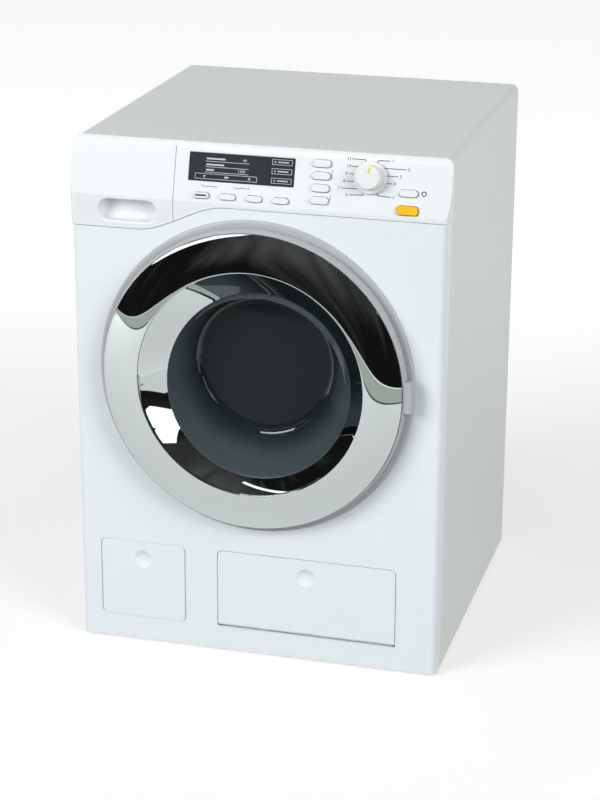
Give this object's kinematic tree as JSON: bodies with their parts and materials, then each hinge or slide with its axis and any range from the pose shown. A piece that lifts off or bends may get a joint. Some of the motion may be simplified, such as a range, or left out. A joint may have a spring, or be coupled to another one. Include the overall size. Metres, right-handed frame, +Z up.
{
  "type": "toy washing machine",
  "caption": "Toy front-loading washing machine: white casing, opening porthole door, turning drum, detergent drawer, service flap, dial and push buttons.",
  "frame": {"origin": "middle of the footprint, at the underside of the foot pads", "axes": "+Z up, the front with its door faces -Y, +X to the right as seen from the front"},
  "size_m": [0.186, 0.1924, 0.26],
  "materials": {
    "white_shell": "smooth moulded white plastic",
    "white_fascia": "smooth moulded white plastic, a little brighter",
    "casing_white": "smooth moulded white plastic, a little greyer than the front",
    "silver_grey": "smooth light grey plastic",
    "white_inner": "plain white plastic",
    "grey_inner": "plain grey plastic",
    "button_white": "smooth white cap",
    "button_yellow": "smooth yellow cap",
    "bright_plating": "bright plated plastic",
    "smoked": "smoked clear plastic",
    "display_dark": "dark glossy window with pale printed marks",
    "drum_metal": "silver-coloured plastic",
    "steel": "turned steel",
    "brass_bush": "sintered bush",
    "gear_plastic": "natural nylon",
    "black_rubber": "soft black rubber",
    "grey_rubber": "soft grey rubber",
    "board_green": "circuit board",
    "black_part": "black moulded plastic",
    "cell_wrap": "plain wrapped cell"
  },
  "bodies": {
    "casing": {"cabinet": "casing_white", "front_panel": "white_shell", "control_fascia": "white_fascia", "back_cover": "white_inner", "base_plate": "white_inner", "foot_pads": "grey_rubber", "cover_screws": "steel", "display_window": "display_dark", "circuit_board": "board_green", "keypad_mat": "grey_rubber", "program_switch": "black_part", "drawer_guide": "white_inner", "tub": "grey_inner", "shaft_bush": "brass_bush", "gear_plate": "grey_inner", "motor": "steel", "drive_belt": "black_rubber", "battery_box": "white_inner", "battery_cells": "cell_wrap", "battery_contacts": "steel", "battery_cover": "white_inner", "speaker": "black_part", "hinge_bracket": "grey_inner", "hinge_pin": "steel", "hook_keeper": "grey_inner", "flap_recess": "white_inner"},
    "door": {"door_frame": "silver_grey", "chrome_ring": "bright_plating", "chrome_funnel": "bright_plating", "door_bowl": "smoked", "bowl_clamp": "white_inner", "clamp_screws": "steel", "hinge_arm": "white_inner", "door_hook": "white_inner"},
    "drawer": {"drawer_front": "white_fascia", "drawer_tray": "white_inner"},
    "flap": {"access_flap": "white_shell"},
    "drum_unit": {"drum": "drum_metal", "drum_lifters": "grey_inner", "drum_shaft": "steel", "drum_pulley": "gear_plastic"},
    "countershaft": {"counter_shaft": "steel", "drive_gear": "gear_plastic", "counter_pulley": "gear_plastic"},
    "rotor": {"motor_pinion": "brass_bush", "motor_shaft": "steel"},
    "dial": {"knob": "button_white", "knob_spindle": "grey_inner"},
    "release": {"release_bar": "grey_inner"},
    "row_button_1": {"row_button_1": "button_white"},
    "row_button_2": {"row_button_2": "button_white"},
    "row_button_3": {"row_button_3": "button_white"},
    "row_button_4": {"row_button_4": "button_white"},
    "column_button_1": {"column_button_1": "button_white"},
    "column_button_2": {"column_button_2": "button_white"},
    "column_button_3": {"column_button_3": "button_white"},
    "column_button_4": {"column_button_4": "button_white"},
    "single_button": {"single_button": "button_white"},
    "door_button": {"door_button": "button_yellow"}
  },
  "joints": [
    {"name": "door_hinge", "type": "hinge", "parent": "casing", "child": "door", "pos_m": [-0.084, -0.07785, 0.1473], "axis": [0, 0, -1], "range_deg": [0, 95]},
    {"name": "drawer_slide", "type": "slide", "parent": "casing", "child": "drawer", "axis": [0, -1, 0], "range_m": [0, 0.05]},
    {"name": "flap_hinge", "type": "hinge", "parent": "casing", "child": "flap", "pos_m": [0.0255, -0.08205, 0.0152], "axis": [1, 0, 0], "range_deg": [0, 90]},
    {"name": "drum_spin", "type": "hinge", "parent": "casing", "child": "drum_unit", "pos_m": [0, 0.01615, 0.1473], "axis": [0, 1, 0], "continuous": true},
    {"name": "countershaft_spin", "type": "hinge", "parent": "casing", "child": "countershaft", "pos_m": [0.058, 0.06615, 0.088], "axis": [0, 1, 0], "continuous": true},
    {"name": "motor_spin", "type": "hinge", "parent": "casing", "child": "rotor", "pos_m": [0.058, 0.05615, 0.064], "axis": [0, 1, 0], "continuous": true},
    {"name": "dial_turn", "type": "hinge", "parent": "casing", "child": "dial", "pos_m": [0.0546, -0.07902, 0.24951], "axis": [0, -0.9598, 0.2807], "continuous": true},
    {"name": "release_slide", "type": "slide", "parent": "casing", "child": "release", "axis": [0, 0, -1], "range_m": [0, 0.002]},
    {"name": "row_press_1", "type": "slide", "parent": "casing", "child": "row_button_1", "axis": [0, 0.9598, -0.2807], "range_m": [0, 0.001], "stiffness_N_per_m": 150},
    {"name": "row_press_2", "type": "slide", "parent": "casing", "child": "row_button_2", "axis": [0, 0.9598, -0.2807], "range_m": [0, 0.001], "stiffness_N_per_m": 150},
    {"name": "row_press_3", "type": "slide", "parent": "casing", "child": "row_button_3", "axis": [0, 0.9598, -0.2807], "range_m": [0, 0.001], "stiffness_N_per_m": 150},
    {"name": "row_press_4", "type": "slide", "parent": "casing", "child": "row_button_4", "axis": [0, 0.9598, -0.2807], "range_m": [0, 0.001], "stiffness_N_per_m": 150},
    {"name": "column_press_1", "type": "slide", "parent": "casing", "child": "column_button_1", "axis": [0, 0.9598, -0.2807], "range_m": [0, 0.001], "stiffness_N_per_m": 150},
    {"name": "column_press_2", "type": "slide", "parent": "casing", "child": "column_button_2", "axis": [0, 0.9598, -0.2807], "range_m": [0, 0.001], "stiffness_N_per_m": 150},
    {"name": "column_press_3", "type": "slide", "parent": "casing", "child": "column_button_3", "axis": [0, 0.9598, -0.2807], "range_m": [0, 0.001], "stiffness_N_per_m": 150},
    {"name": "column_press_4", "type": "slide", "parent": "casing", "child": "column_button_4", "axis": [0, 0.9598, -0.2807], "range_m": [0, 0.001], "stiffness_N_per_m": 150},
    {"name": "single_press", "type": "slide", "parent": "casing", "child": "single_button", "axis": [0, 0.9598, -0.2807], "range_m": [0, 0.001], "stiffness_N_per_m": 150},
    {"name": "door_press", "type": "slide", "parent": "casing", "child": "door_button", "axis": [0, 0.9598, -0.2807], "range_m": [0, 0.002], "stiffness_N_per_m": 150}
  ],
  "couplings": [
    {"joint": "countershaft_spin", "follows": "drum_spin", "ratio": 4},
    {"joint": "motor_spin", "follows": "drum_spin", "ratio": -12},
    {"joint": "release_slide", "follows": "door_press", "ratio": 1}
  ]
}
